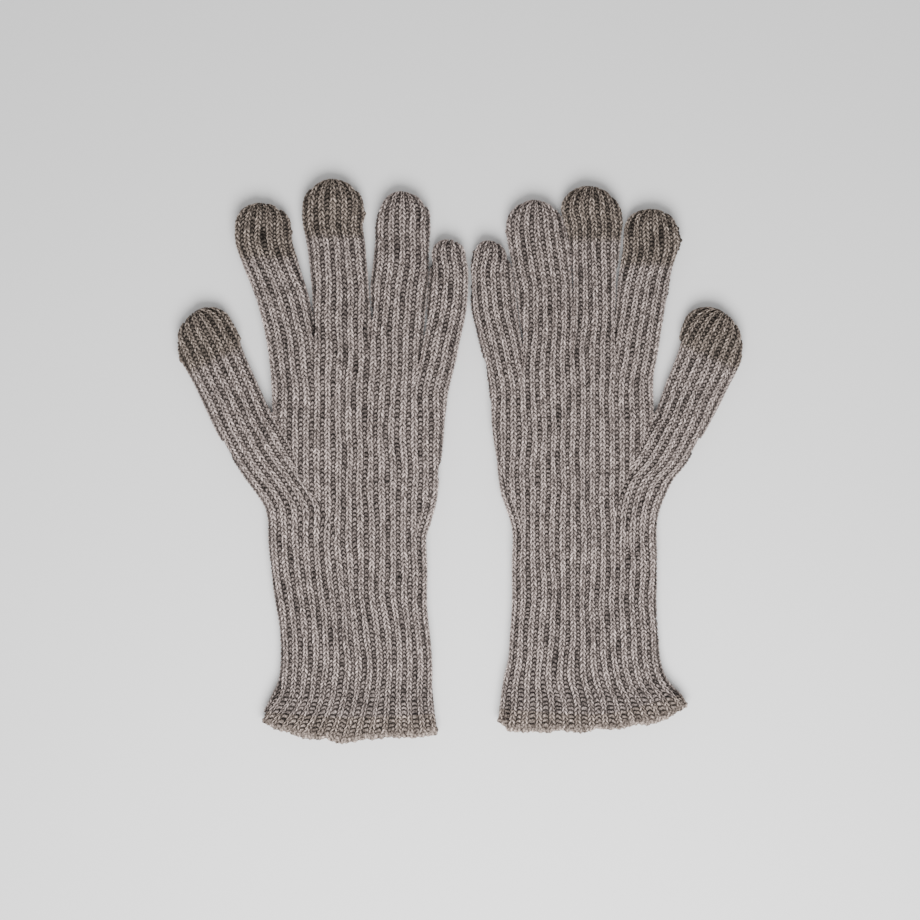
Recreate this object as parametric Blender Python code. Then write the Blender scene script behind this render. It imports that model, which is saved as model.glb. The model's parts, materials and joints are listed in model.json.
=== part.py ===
"""A pair of rib-knit gloves lying flat, palms up, thumbs outward.

Each glove is a set of hollow flattened knitted sections: the cuff edge, the cuff, the three
bands of the hand, a thumb and four fingers.  The sections meet at the folds of the hand.  At a
fold the section nearer the hand ends flat, and the section beyond it has an end rounded about
the fold's axis, so that it turns without touching.

Outlines are in millimetres, X to the right and Y towards the fingertips, because that is how a
glove is measured.  Everything in Blender is in metres, with +Z up and the table at Z = 0.
"""
import math

import bmesh
import bpy
from mathutils import Vector

MM = 0.001

# Driving dimensions, in millimetres.
THICKNESS = 11.0  # both layers of the flat glove, with the hollow between them
WALL = 2.0  # one layer of 1x1 rib
GAP = 0.3  # clearance between neighbouring sections
HALF = THICKNESS / 2
FOLD_ROOM = HALF + GAP  # how far the hand-side section stops short of a fold's axis
FLARE = 1.5  # how much the cuff edge opens upwards
ARC_STEPS = 4  # faces round each rounded side of a section
DOME_STEPS = (0.0, 0.35, 0.62, 0.83, 0.96)  # where a fingertip's sections lie, as parts of its dome
DOME_HALF = 0.45  # a fingertip's thickness at its very end, as a part of its full thickness

WRIST_FOLD = -41.5  # Y of the fold between hand and cuff
KNUCKLE_FOLD = 72.0  # Y of the fold at the root of the index, middle and ring fingers
LITTLE_FOLD = 58.0  # Y of the fold at the root of the little finger, which is set lower
HEEL_START = WRIST_FOLD + FOLD_ROOM
BAND_START = LITTLE_FOLD - HALF
BAND_END = KNUCKLE_FOLD - FOLD_ROOM
PALM_END = LITTLE_FOLD - FOLD_ROOM

# Principled materials: colour (linear), roughness.
BODY_YARN = ("body_yarn", (0.255, 0.222, 0.206), 0.95)
TOUCH_YARN = ("touch_yarn", (0.150, 0.127, 0.112), 0.90)
EDGE_YARN = ("edge_yarn", (0.270, 0.228, 0.200), 0.95)

# One glove each.  A finger's rows are (Y, left edge, right edge), root to tip; a thumb's rows are
# the same, along and across the thumb from its fold.  "heel" rows add the thumb side's own Y.
# "fold_lean" is how much of a finger's lean its folds share: less where bent fingers would meet.
LEFT = {
    "side": "left",
    "thumb_sign": -1,
    "edge": {
        "top": [(-99.0, -127.0), (-56.0, -129.0), (-12.6, -127.5)],
        "bottom": [(-98.0, -133.5), (-56.0, -141.7), (-12.2, -137.5)],
    },
    "cuff": [(-61, -94.7, -16.7), (-81, -91.8, -16.2), (-101, -90.8, -14.5), (-118, -93.6, -13.4)],
    "wrist": (-96.9, -16.6),
    "heel": [
        (HEEL_START, -97.2, HEEL_START, -75.0, -15.6),
        (-22.0, -98.4, -25.0, -78.0, -12.8),
        (-7.0, -107.5, -11.0, -84.0, -10.4),
        (6.0, -113.8, -1.5, -88.0, -9.3),
    ],
    "heel_end": -8.0,
    "palm": [(-91.9, -8.0), (24, -94.5, -7.3), (41, -95.7, -4.7), (PALM_END, -96.7, -1.9)],
    "band": [(BAND_START, -96.9, -18.8), (BAND_END, -99.6, -18.8)],
    "thumb": {
        "fold": (-108.75, 16.95),
        "lean": 25.0,
        "rows": [(0, -14.5, 14.2), (30, -15.0, 14.6), (47, -13.0, 16.0)],
        "tip": (2.5, 61.2),
        "bend": 29.5,
    },
    "fingers": {
        "index": {
            "rows": [
                (72, -101.3, -75.4),
                (90, -107.2, -79.2),
                (105, -113.2, -83.9),
                (116, -114.2, -85.3),
            ],
            "tip": (-101.2, 127.5),
            "bends": (90.0, 109.0),
            "fold_lean": 1.0,
            "cap": 94.8,
        },
        "middle": {
            "rows": [
                (72, -74.7, -45.9),
                (90, -75.2, -47.0),
                (109, -77.7, -48.3),
                (126, -79.6, -48.9),
            ],
            "tip": (-64.6, 139.4),
            "bends": (94.5, 118.0),
            "fold_lean": 1.0,
            "cap": 105.2,
        },
        "ring": {
            "rows": [
                (72, -45.2, -18.8),
                (90, -45.0, -17.4),
                (105, -43.2, -16.4),
                (118, -42.8, -15.8),
            ],
            "tip": (-30.0, 133.2),
            "bends": (93.0, 113.5),
            "fold_lean": 1.0,
            "cap": None,
        },
        "little": {
            "rows": [(58, -18.1, -0.4), (75, -17.2, 3.0), (92, -15.7, 3.4), (100, -15.1, 2.8)],
            "tip": (-7.6, 109.3),
            "bends": (76.0, 93.0),
            "fold_lean": 1.0,
            "cap": None,
        },
    },
}

RIGHT = {
    "side": "right",
    "thumb_sign": 1,
    "edge": {
        "top": [(18.3, -124.5), (66.0, -127.0), (111.5, -118.0)],
        "bottom": [(18.6, -133.0), (66.0, -136.6), (112.8, -124.2)],
    },
    "cuff": [(-61, 25.3, 97.7), (-81, 24.8, 98.2), (-99, 23.2, 99.3), (-111, 20.9, 103.2)],
    "wrist": (25.3, 97.8),
    "heel": [
        (HEEL_START, 98.0, HEEL_START, 76.0, 24.8),
        (-22.0, 99.8, -25.0, 79.0, 20.6),
        (-7.0, 106.8, -11.0, 85.0, 17.8),
        (6.0, 112.6, -2.0, 90.0, 16.0),
    ],
    "heel_end": 14.5,
    "palm": [(93.6, 14.5), (24, 95.9, 14.0), (41, 96.7, 12.7), (PALM_END, 98.9, 9.9)],
    "band": [(BAND_START, 99.0, 31.0), (BAND_END, 101.2, 29.8)],
    "thumb": {
        "fold": (109.4, 17.55),
        "lean": -24.0,
        "rows": [(0, -13.3, 13.9), (27, -14.6, 14.8), (38, -16.6, 15.4), (46, -18.4, 13.0)],
        "tip": (-4.6, 59.6),
        "bend": 28.0,
    },
    "fingers": {
        "index": {
            "rows": [(72, 77.1, 102.6), (90, 78.6, 105.0), (105, 80.4, 109.6), (114, 81.3, 109.4)],
            "tip": (94.5, 124.5),
            "bends": (87.0, 106.0),
            "fold_lean": 0.6,
            "cap": 91.4,
        },
        "middle": {
            "rows": [(72, 56.3, 76.4), (90, 55.3, 77.9), (109, 54.0, 79.6), (122, 51.6, 80.6)],
            "tip": (63.0, 136.0),
            "bends": (93.5, 116.0),
            "fold_lean": 0.6,
            "cap": 103.8,
        },
        "ring": {
            "rows": [(72, 30.6, 55.6), (90, 28.0, 54.6), (105, 24.6, 52.9), (116, 23.4, 51.0)],
            "tip": (36.8, 128.9),
            "bends": (92.0, 111.5),
            "fold_lean": 0.35,
            "cap": None,
        },
        "little": {
            "rows": [(58, 8.4, 29.6), (75, 4.5, 26.6), (92, 4.3, 23.8), (100, 5.1, 22.0)],
            "tip": (13.0, 108.6),
            "bends": (76.0, 93.0),
            "fold_lean": 0.0,
            "cap": None,
        },
    },
}


def clear_scene():
    for obj in list(bpy.data.objects):
        bpy.data.objects.remove(obj, do_unlink=True)


def yarn_material(name, slot, colour, roughness):
    material = bpy.data.materials.new(f"{name}_{slot}")
    material.use_nodes = True
    shader = material.node_tree.nodes["Principled BSDF"]
    shader.inputs["Base Color"].default_value = (*colour, 1.0)
    shader.inputs["Roughness"].default_value = roughness
    shader.inputs["Metallic"].default_value = 0.0
    return material


def line_at(points, x):
    """Y of the line through points, which run from left to right, at x."""
    for (x0, y0), (x1, y1) in zip(points, points[1:]):
        if x <= x1:
            break
    share = (x - x0) / (x1 - x0)
    return y0 + min(max(share, 0.0), 1.0) * (y1 - y0)


def edges_at(rows, y):
    """Left and right edge, between rows of (y, left, right)."""
    for (y0, left0, right0), (y1, left1, right1) in zip(rows, rows[1:]):
        if y <= y1:
            break
    share = (y - y0) / (y1 - y0)
    return left0 + share * (left1 - left0), right0 + share * (right1 - right0)


def section(line, inset=0.0, half=HALF, middle=HALF, fold=None):
    """One flattened oval section.

    line is the section's run from its left edge to its right edge, as (x, y) points.  inset moves
    the oval inwards, for the inner side of the wall.  With fold, the line is a fold's axis, and
    every point is drawn back onto a cylinder of radius HALF about it.
    """
    radius = half - inset
    left = line[0][0] + inset + radius
    right = line[-1][0] - inset - radius
    quarter = [math.pi * (0.5 - i / ARC_STEPS) for i in range(ARC_STEPS + 1)]
    ring = [(left - radius * math.cos(a), middle + radius * math.sin(a)) for a in quarter]
    ring += [(x, middle - radius) for x, _ in line[1:-1]]
    ring += [(right + radius * math.cos(a), middle - radius * math.sin(a)) for a in quarter]
    ring += [(x, middle + radius) for x, _ in reversed(line[1:-1])]
    points = []
    for x, z in ring:
        y = line_at(line, x)
        if fold:
            back = fold["towards_hand"] * math.sqrt(max(HALF**2 - (z - HALF) ** 2, 0.0))
            x += back * math.sin(fold["lean"])
            y -= back * math.cos(fold["lean"])
        points.append((x, y, z))
    return points


def level(y, left, right):
    """A straight section line across, at y."""
    return {"line": [(left, y), (right, y)]}


def wall_mesh(name, stations, closed_tip=False, to_world=None):
    """A hollow section through the stations, open at its first end and at its last.

    With closed_tip the last end is closed: the outer wall and the hollow each end in a face.
    """
    outer = [section(**s) for s in stations]
    inner_stations = stations
    if closed_tip:
        inner_stations = [shrink_tip(s, i, len(stations)) for i, s in enumerate(stations)]
    inner = [section(inset=WALL, **s) for s in inner_stations]
    points = [p for ring in outer + inner for p in ring]
    count = len(outer[0])
    rings = len(stations)
    inner_start = rings * count
    faces = []
    for r in range(rings - 1):
        for i in range(count):
            j = (i + 1) % count
            a, b = r * count, (r + 1) * count
            faces.append((a + i, b + i, b + j, a + j))
            c, d = inner_start + a, inner_start + b
            faces.append((c + i, c + j, d + j, d + i))
    last = (rings - 1) * count
    for i in range(count):
        j = (i + 1) % count
        faces.append((i, j, inner_start + j, inner_start + i))
        if not closed_tip:
            faces.append((last + i, inner_start + last + i, inner_start + last + j, last + j))
    if closed_tip:
        faces.append([last + i for i in range(count)])
        faces.append([inner_start + last + i for i in range(count)])
    if to_world:
        points = [to_world(p) for p in points]
    mesh = bpy.data.meshes.new(name)
    mesh.from_pydata([Vector(p) * MM for p in points], [], faces)
    face_outwards(mesh)
    mesh.shade_smooth()
    mesh.set_sharp_from_angle(angle=math.radians(40))
    return mesh


def shrink_tip(station, index, count):
    """Draw the hollow's last section back from the tip, so that the tip keeps its wall."""
    if index < count - 1:
        return station
    line = [(x, y - WALL) for x, y in station["line"]]
    return {**station, "line": line}


def face_outwards(mesh):
    shell = bmesh.new()
    shell.from_mesh(mesh)
    bmesh.ops.recalc_face_normals(shell, faces=shell.faces)
    shell.to_mesh(mesh)
    shell.free()


class Body:
    """A rigid group of sections, hung from an empty on its joint's axis."""

    def __init__(self, name, at, parent=None):
        self.at = Vector(at) * MM
        self.empty = bpy.data.objects.new(f"{name}_axis", None)
        self.empty.empty_display_size = 0.01
        self.empty.parent = parent.empty if parent else None
        self.empty.location = self.at - (parent.at if parent else Vector())
        bpy.context.scene.collection.objects.link(self.empty)

    def add(self, name, mesh, yarn):
        slot, colour, roughness = yarn
        for vertex in mesh.vertices:
            vertex.co -= self.at
        mesh.materials.append(yarn_material(name, slot, colour, roughness))
        obj = bpy.data.objects.new(name, mesh)
        obj.parent = self.empty
        bpy.context.scene.collection.objects.link(obj)


def rounded_end(line, lean=0.0, towards_hand=1):
    return {"line": line, "fold": {"lean": lean, "towards_hand": towards_hand}}


def centre_at(rows, y):
    return sum(edges_at(rows, y)) / 2


def lean_at(rows, y):
    """How far a finger leans to the left at y, in radians."""
    run = 3.0
    return math.atan2(centre_at(rows, y - run) - centre_at(rows, y + run), 2 * run)


def across(rows, y, lean):
    """The line square across a finger that leans, through its middle at y."""
    middle = centre_at(rows, y)
    line = []
    for side in (0, 1):
        level_x = edges_at(rows, y)[side]
        x = edges_at(rows, y + (level_x - middle) * math.tan(lean))[side]
        line.append((x, y + (x - middle) * math.tan(lean)))
    return line


def end_before_fold(rows, fold):
    """The flat end of the section before a fold, which is given as (y, lean)."""
    y, lean = fold
    return {"line": across(rows, y - FOLD_ROOM * math.cos(lean), lean)}


def start_at_fold(rows, fold):
    y, lean = fold
    return rounded_end(across(rows, y, lean), lean)


def rows_between(rows, start, end):
    margin = 2.0
    return [level(y, *edges_at(rows, y)) for y, _, _ in rows if start + margin < y < end - margin]


def dome_stations(rows, fold, tip):
    """Stations of a fingertip, from its last fold to its round end."""
    tip_x, tip_y = tip
    dome_y, left, right = rows[-1]
    stations = [start_at_fold(rows, fold)]
    for share in DOME_STEPS:
        narrow = math.sqrt(1.0 - share**2)
        middle_x = (1.0 - share) * (left + right) / 2 + share * tip_x
        half = HALF * (1.0 - (1.0 - DOME_HALF) * share**2)
        half_width = max(narrow * (right - left) / 2, half)
        y = dome_y + share * (tip_y - dome_y)
        station = level(y, middle_x - half_width, middle_x + half_width)
        stations.append({**station, "half": half})
    return stations


def finger(side, name, spec, root_y, hand):
    """A finger of three bodies: base, middle and tip, with a touch cap where it has one."""
    rows, cap, prefix = spec["rows"], spec["cap"], f"{side}_{name}"
    root = (root_y, 0.0)
    bends = [(y, spec["fold_lean"] * lean_at(rows, y)) for y in spec["bends"]]
    points = [(centre_at(rows, y), y, HALF) for y, _ in (root, *bends)]
    base = Body(f"{prefix}_base", points[0], hand)
    middle = Body(f"{prefix}_middle", points[1], base)
    tip = Body(f"{prefix}_tip", points[2], middle)

    stations = [start_at_fold(rows, root), end_before_fold(rows, bends[0])]
    base.add(f"{prefix}_root_tube", wall_mesh(f"{prefix}_root_tube", stations), BODY_YARN)

    start, end = start_at_fold(rows, bends[0]), end_before_fold(rows, bends[1])
    if cap:
        before, after = (level(y, *edges_at(rows, y)) for y in (cap - GAP / 2, cap + GAP / 2))
        middle.add(f"{prefix}_middle_tube", wall_mesh(f"{prefix}_middle_tube", [start, before]), BODY_YARN)
        middle.add(f"{prefix}_cap_sleeve", wall_mesh(f"{prefix}_cap_sleeve", [after, end]), TOUCH_YARN)
    else:
        stations = [start, *rows_between(rows, bends[0][0], bends[1][0] - FOLD_ROOM), end]
        middle.add(f"{prefix}_middle_tube", wall_mesh(f"{prefix}_middle_tube", stations), BODY_YARN)

    end_name, yarn = (f"{prefix}_cap_end", TOUCH_YARN) if cap else (f"{prefix}_tip", BODY_YARN)
    stations = dome_stations(rows, bends[1], spec["tip"])
    tip.add(end_name, wall_mesh(end_name, stations, closed_tip=True), yarn)


def thumb_frame(spec):
    """The thumb's own frame: its fold's middle, across it and along it."""
    lean = math.radians(spec["lean"])
    across = Vector((math.cos(lean), math.sin(lean)))
    along = Vector((-math.sin(lean), math.cos(lean)))
    return Vector(spec["fold"]), across, along


def thumb(side, spec, hand):
    """A thumb of two bodies: a tube from the hand and a touch cap beyond the thumb's own bend."""
    fold, across, along = thumb_frame(spec)

    def to_world(point):
        x, y, z = point
        flat = fold + x * across + y * along
        return (flat.x, flat.y, z)

    rows, bend = spec["rows"], spec["bend"]
    base = Body(f"{side}_thumb_base", to_world((0, 0, HALF)), hand)
    tip = Body(f"{side}_thumb_tip", to_world((0, bend, HALF)), base)
    stations = [start_at_fold(rows, (0.0, 0.0)), end_before_fold(rows, (bend, 0.0))]
    mesh = wall_mesh(f"{side}_thumb_tube", stations, to_world=to_world)
    base.add(f"{side}_thumb_tube", mesh, BODY_YARN)
    stations = dome_stations(rows, (bend, 0.0), spec["tip"])
    mesh = wall_mesh(f"{side}_thumb_cap", stations, closed_tip=True, to_world=to_world)
    tip.add(f"{side}_thumb_cap", mesh, TOUCH_YARN)


def thumb_root_line(glove):
    """Where the heel of the hand ends: along the thumb's fold, then straight across the palm."""
    spec = glove["thumb"]
    fold, across, along = thumb_frame(spec)
    _, left, right = spec["rows"][0]
    inwards = -glove["thumb_sign"]
    inner = max(left * inwards, right * inwards) + 2 * GAP
    outer = max(-left * inwards, -right * inwards)
    knee = fold + inwards * inner * across - FOLD_ROOM * along
    corner = fold - inwards * outer * across - FOLD_ROOM * along
    return [tuple(corner), tuple(knee), (glove["heel_end"], knee.y)]


def left_to_right(points):
    return sorted(points, key=lambda p: p[0])


def hand_sections(glove, hand):
    """The heel, palm and knuckle band, which follow each other up the hand."""
    side = glove["side"]
    stations = [
        {"line": left_to_right([(thumb_x, thumb_y), (knee_x, y), (far_x, y)])}
        for y, thumb_x, thumb_y, knee_x, far_x in glove["heel"]
    ]
    root_line = thumb_root_line(glove)
    stations.append({"line": left_to_right(root_line)})
    hand.add(f"{side}_palm_heel", wall_mesh(f"{side}_palm_heel", stations), BODY_YARN)

    palm_start = root_line[1][1] + GAP
    rows = [(palm_start, *glove["palm"][0])] + glove["palm"][1:]
    mesh = wall_mesh(f"{side}_palm", [level(y, *sorted(edges)) for y, *edges in rows])
    hand.add(f"{side}_palm", mesh, BODY_YARN)

    stations = [level(y, *sorted(edges)) for y, *edges in glove["band"]]
    hand.add(f"{side}_knuckle_band", wall_mesh(f"{side}_knuckle_band", stations), BODY_YARN)


def cuff_sections(glove, cuff):
    """The long rib cuff and the flared edge that finishes it."""
    side = glove["side"]
    top, bottom = glove["edge"]["top"], glove["edge"]["bottom"]
    middle_x = top[1][0]
    left, right = glove["wrist"]
    wrist = rounded_end([(x, WRIST_FOLD) for x in (left, middle_x, right)], towards_hand=-1)
    stations = [wrist]
    stations += [{"line": [(left, y), (middle_x, y), (right, y)]} for y, left, right in glove["cuff"]]
    stations.append({"line": [(x, y + GAP) for x, y in top]})
    cuff.add(f"{side}_cuff", wall_mesh(f"{side}_cuff", stations), BODY_YARN)

    flared = HALF + FLARE / 2
    stations = [{"line": top}, {"line": bottom, "half": flared, "middle": flared}]
    cuff.add(f"{side}_cuff_edge", wall_mesh(f"{side}_cuff_edge", stations), EDGE_YARN)


def build_glove(glove):
    side = glove["side"]
    wrist_x = sum(glove["wrist"]) / 2
    hand = Body(f"{side}_hand", (wrist_x, 0.0, 0.0))
    hand_sections(glove, hand)
    cuff = Body(f"{side}_cuff", (wrist_x, WRIST_FOLD, HALF), hand)
    cuff_sections(glove, cuff)
    thumb(side, glove["thumb"], hand)
    for name, spec in glove["fingers"].items():
        root = LITTLE_FOLD if name == "little" else KNUCKLE_FOLD
        finger(side, name, spec, root, hand)


clear_scene()
build_glove(LEFT)
build_glove(RIGHT)
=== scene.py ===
"""The looks of a pair of rib-knit gloves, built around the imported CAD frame.

Every visible surface is a closed knitted tube: a grid of points across and along the fabric,
shaped by the glove's outline, and raised stitch by stitch.  Lengths are in millimetres until a
mesh is made.  U counts ribs across the fabric and V counts courses along it.
"""

import json
import math

import bpy
import numpy as np
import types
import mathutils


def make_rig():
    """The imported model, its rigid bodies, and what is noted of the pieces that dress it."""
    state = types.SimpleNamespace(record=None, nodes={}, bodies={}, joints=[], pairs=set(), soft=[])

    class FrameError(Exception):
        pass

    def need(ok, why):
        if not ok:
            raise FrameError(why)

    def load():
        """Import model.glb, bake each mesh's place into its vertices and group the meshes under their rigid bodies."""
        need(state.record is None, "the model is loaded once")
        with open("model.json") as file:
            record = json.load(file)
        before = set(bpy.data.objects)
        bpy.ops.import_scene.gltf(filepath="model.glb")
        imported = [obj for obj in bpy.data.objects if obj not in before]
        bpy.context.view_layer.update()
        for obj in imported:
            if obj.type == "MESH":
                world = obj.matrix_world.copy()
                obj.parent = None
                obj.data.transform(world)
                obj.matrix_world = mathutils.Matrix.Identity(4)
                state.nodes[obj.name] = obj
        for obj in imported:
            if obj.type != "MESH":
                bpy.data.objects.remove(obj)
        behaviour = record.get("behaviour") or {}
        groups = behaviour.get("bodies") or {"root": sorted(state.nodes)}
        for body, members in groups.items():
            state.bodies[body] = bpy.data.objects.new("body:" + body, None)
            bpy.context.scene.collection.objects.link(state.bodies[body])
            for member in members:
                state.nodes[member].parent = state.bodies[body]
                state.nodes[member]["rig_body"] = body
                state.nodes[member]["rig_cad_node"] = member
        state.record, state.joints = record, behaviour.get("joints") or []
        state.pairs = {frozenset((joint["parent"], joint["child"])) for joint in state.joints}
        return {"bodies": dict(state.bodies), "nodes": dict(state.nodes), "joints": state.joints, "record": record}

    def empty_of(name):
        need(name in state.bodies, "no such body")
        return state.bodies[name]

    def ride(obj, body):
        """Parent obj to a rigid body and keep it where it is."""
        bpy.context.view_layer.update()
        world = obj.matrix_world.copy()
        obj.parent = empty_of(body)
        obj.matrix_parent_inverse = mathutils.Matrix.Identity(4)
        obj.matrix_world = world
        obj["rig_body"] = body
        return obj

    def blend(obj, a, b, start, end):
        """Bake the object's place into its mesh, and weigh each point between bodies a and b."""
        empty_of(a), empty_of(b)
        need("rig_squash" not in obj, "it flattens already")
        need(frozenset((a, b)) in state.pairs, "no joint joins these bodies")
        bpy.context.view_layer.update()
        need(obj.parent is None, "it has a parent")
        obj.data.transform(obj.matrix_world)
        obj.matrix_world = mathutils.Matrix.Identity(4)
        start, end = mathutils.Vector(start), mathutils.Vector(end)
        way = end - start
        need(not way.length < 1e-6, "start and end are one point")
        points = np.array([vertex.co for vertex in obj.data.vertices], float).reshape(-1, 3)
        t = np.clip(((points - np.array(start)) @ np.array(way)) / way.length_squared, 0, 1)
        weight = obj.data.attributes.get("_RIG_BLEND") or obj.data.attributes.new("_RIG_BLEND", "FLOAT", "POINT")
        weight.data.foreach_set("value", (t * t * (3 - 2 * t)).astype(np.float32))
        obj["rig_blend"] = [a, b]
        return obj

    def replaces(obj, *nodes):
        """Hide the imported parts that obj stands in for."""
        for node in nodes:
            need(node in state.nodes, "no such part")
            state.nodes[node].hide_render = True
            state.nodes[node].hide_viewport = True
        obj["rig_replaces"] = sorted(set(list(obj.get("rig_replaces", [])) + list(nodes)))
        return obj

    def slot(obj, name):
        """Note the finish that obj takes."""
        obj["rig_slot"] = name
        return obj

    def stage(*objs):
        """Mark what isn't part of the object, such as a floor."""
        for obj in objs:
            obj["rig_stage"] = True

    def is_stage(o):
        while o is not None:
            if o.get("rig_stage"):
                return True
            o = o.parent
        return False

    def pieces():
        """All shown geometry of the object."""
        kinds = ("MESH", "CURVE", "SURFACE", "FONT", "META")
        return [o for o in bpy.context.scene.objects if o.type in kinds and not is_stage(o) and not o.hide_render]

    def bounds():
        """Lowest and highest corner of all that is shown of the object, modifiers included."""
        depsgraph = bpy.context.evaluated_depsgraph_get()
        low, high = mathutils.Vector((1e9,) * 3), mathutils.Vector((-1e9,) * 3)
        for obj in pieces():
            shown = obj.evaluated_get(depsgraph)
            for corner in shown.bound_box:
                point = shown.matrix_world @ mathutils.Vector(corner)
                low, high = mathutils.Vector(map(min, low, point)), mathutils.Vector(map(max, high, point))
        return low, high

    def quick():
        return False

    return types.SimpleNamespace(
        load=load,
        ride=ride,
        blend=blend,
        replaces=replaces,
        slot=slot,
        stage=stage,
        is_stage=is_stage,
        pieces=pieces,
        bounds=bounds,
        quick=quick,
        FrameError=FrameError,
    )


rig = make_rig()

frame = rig.load()
CAD_BOX = [list(corner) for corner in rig.bounds()]

MM = 0.001
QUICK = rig.quick()

# Fabric
COLUMN = 0.9 if QUICK else 0.32  # distance between points across the fabric
ROW = 0.9 if QUICK else 0.29  # distance between points along it
COURSE = 2.15  # height of one row of stitches
WRIST = -41.0  # courses are counted from here, and the cuff's ribs share out its width
HALF = 4.7  # half the thickness of the lying glove, without its stitches
MIDDLE = 5.5  # height of the tubes' middle above the table
UNEVEN = 0.035  # how much of that comes and goes from place to place
EDGE_ZONE = 12.0  # how far in from its side a tube is still rounded
ROUNDNESS = 2.2  # exponent of a tube's side
LAYER = 1.7  # thickness of one layer of fabric
INNER_STRIDE = 6  # the plain inner side has a point for so many of the outer side's

RNG = np.random.default_rng(11)


# ---- small mathematics

def curve(points):
    """A smooth function through (x, y) points, straight on beyond its ends."""
    xs, ys = np.array(sorted(points), float).T
    chords = np.diff(ys) / np.diff(xs)
    slopes = np.empty_like(ys)
    slopes[0], slopes[-1] = chords[0], chords[-1]
    slopes[1:-1] = (chords[1:] + chords[:-1]) / 2
    turning = np.sign(chords[1:]) != np.sign(chords[:-1])
    slopes[1:-1][turning] = 0.0

    def value(x):
        x = np.asarray(x, float)
        i = np.clip(np.searchsorted(xs, x) - 1, 0, len(xs) - 2)
        h = xs[i + 1] - xs[i]
        t = (x - xs[i]) / h
        inside = (
            (1 + 2 * t) * (1 - t) ** 2 * ys[i]
            + t * (1 - t) ** 2 * h * slopes[i]
            + t * t * (3 - 2 * t) * ys[i + 1]
            - t * t * (1 - t) * h * slopes[i + 1]
        )
        before = ys[0] + (x - xs[0]) * slopes[0]
        after = ys[-1] + (x - xs[-1]) * slopes[-1]
        return np.where(x < xs[0], before, np.where(x > xs[-1], after, inside))

    return value


def smooth(t):
    t = np.clip(t, 0.0, 1.0)
    return t * t * (3 - 2 * t)


def wobble_field(scale, count=10):
    """A smooth random function of two numbers, between about -1 and 1."""
    angles = RNG.uniform(0, 2 * math.pi, count)
    waves = RNG.uniform(0.6, 1.5, count) / scale * 2 * math.pi
    phases = RNG.uniform(0, 2 * math.pi, count)

    def value(x, y):
        total = sum(
            np.sin(w * (np.cos(a) * x + np.sin(a) * y) + p)
            for a, w, p in zip(angles, waves, phases)
        )
        return total / math.sqrt(count)

    return value


SLACK = wobble_field(14.0)  # how open the ribs lie
DRIFT = wobble_field(38.0)  # how the ribs wander
TREMBLE = wobble_field(4.0)  # how single stitches stray
BREATH = wobble_field(9.0)  # how courses vary


# ---- the stitches

KNIT_HALF = 0.31  # half of a raised rib, in ribs
LEG_CENTRE = 0.155  # where a stitch's leg lies, from the rib's middle
LEG_HALF = 0.172  # half of a leg's width
LEG_RISE = 1.15  # courses that a leg climbs towards the middle of its rib
KNIT_BOTTOM, PURL_BOTTOM = -0.62, -1.14  # heights of the gaps between their strands, in mm
ARC_RISE = 0.45  # courses that a purl loop's crown stands above its sides


def chance(a, b=0.0):
    """A fixed random number from 0 to 1 for each pair of whole numbers."""
    value = np.sin(a * 12.9898 + b * 78.233 + 4.1) * 43758.5453
    return value - np.floor(value)


def strand(phase):
    """Height of round strands that lie side by side, one to each whole number."""
    t = 2 * (phase - np.floor(phase)) - 1
    return np.sqrt(np.clip(1 - t * t, 0, 1))


def stitch(u, v, slack, opened):
    """The stitches at rib u and course v: their height in mm, a number that runs on across the
    strands, a random tone for each strand, and how open to the light the place is, from 0 to 1,
    which is painted light and shade: low for painted shade in the hollows, high for painted light
    on the crowns.
    slack is how loosely the ribs lie, and opened how far they are spread.

    The raised rib is two legs leaning together towards the fingertips.  The sunken rib between
    is a ladder of round-backed loops.
    """
    column = np.floor(u)
    opened = opened * (0.35 + 1.1 * chance(column + 7))
    off = u - column - 0.5
    side = np.abs(off) * KNIT_HALF / (KNIT_HALF + 0.03 * slack - 0.07 * opened)
    v = v + 0.35 * chance(column)

    knit_phase = v + LEG_RISE * side / KNIT_HALF
    knit_tone = chance(2 * column + (off > 0), np.floor(knit_phase))
    leg = np.sqrt(np.clip(1 - ((side - LEG_CENTRE) / LEG_HALF) ** 2, 0, 1))
    knit_strand = strand(knit_phase) ** 1.2
    knit = KNIT_BOTTOM + leg * (0.36 + (0.80 + 0.16 * knit_tone) * knit_strand)
    # painted shade in the pit between a raised rib's two legs and between strands, painted light on the legs' crowns
    pit_shade = np.exp(-((side / 0.05) ** 2)) * (1 - strand(knit_phase))
    knit_painted_light = leg**1.3 * (0.14 + 0.86 * strand(knit_phase) ** 2) * (1 - 0.75 * pit_shade)

    across = np.clip((0.5 - side) / (0.5 - KNIT_HALF), 0, 1.5)
    purl_phase = v + 0.35 + ARC_RISE * across**2
    purl_tone = chance(column + 0.5, np.floor(purl_phase))
    purl_strand = strand(purl_phase) ** 1.2
    purl = PURL_BOTTOM + (0.66 + 0.16 * purl_tone) * purl_strand * (1 - 0.25 * across)
    purl = purl + 0.10 * slack + 0.28 * opened
    # painted shade in the sunken rib, with painted light on the backs of its loops
    purl_painted_light = 0.04 + (0.53 + 0.10 * slack + 0.12 * opened) * strand(purl_phase) ** 2.5

    share = smooth((KNIT_HALF + 0.05 - side) / 0.09)
    # the gap at a raised rib's side is both a dip in the surface and painted shade; clear is the painted light and
    # shade of the place
    gap_dip_and_shade = np.exp(-(((side - KNIT_HALF - 0.02) / 0.028) ** 2))
    height = share * knit + (1 - share) * purl - 0.20 * gap_dip_and_shade
    clear = (share * knit_painted_light + (1 - share) * purl_painted_light) * (1 - 0.55 * gap_dip_and_shade)
    phase = np.where(share > 0.5, knit_phase, purl_phase)
    tone = np.where(share > 0.5, knit_tone, purl_tone)
    return height, phase, tone, clear


# ---- rib families

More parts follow.
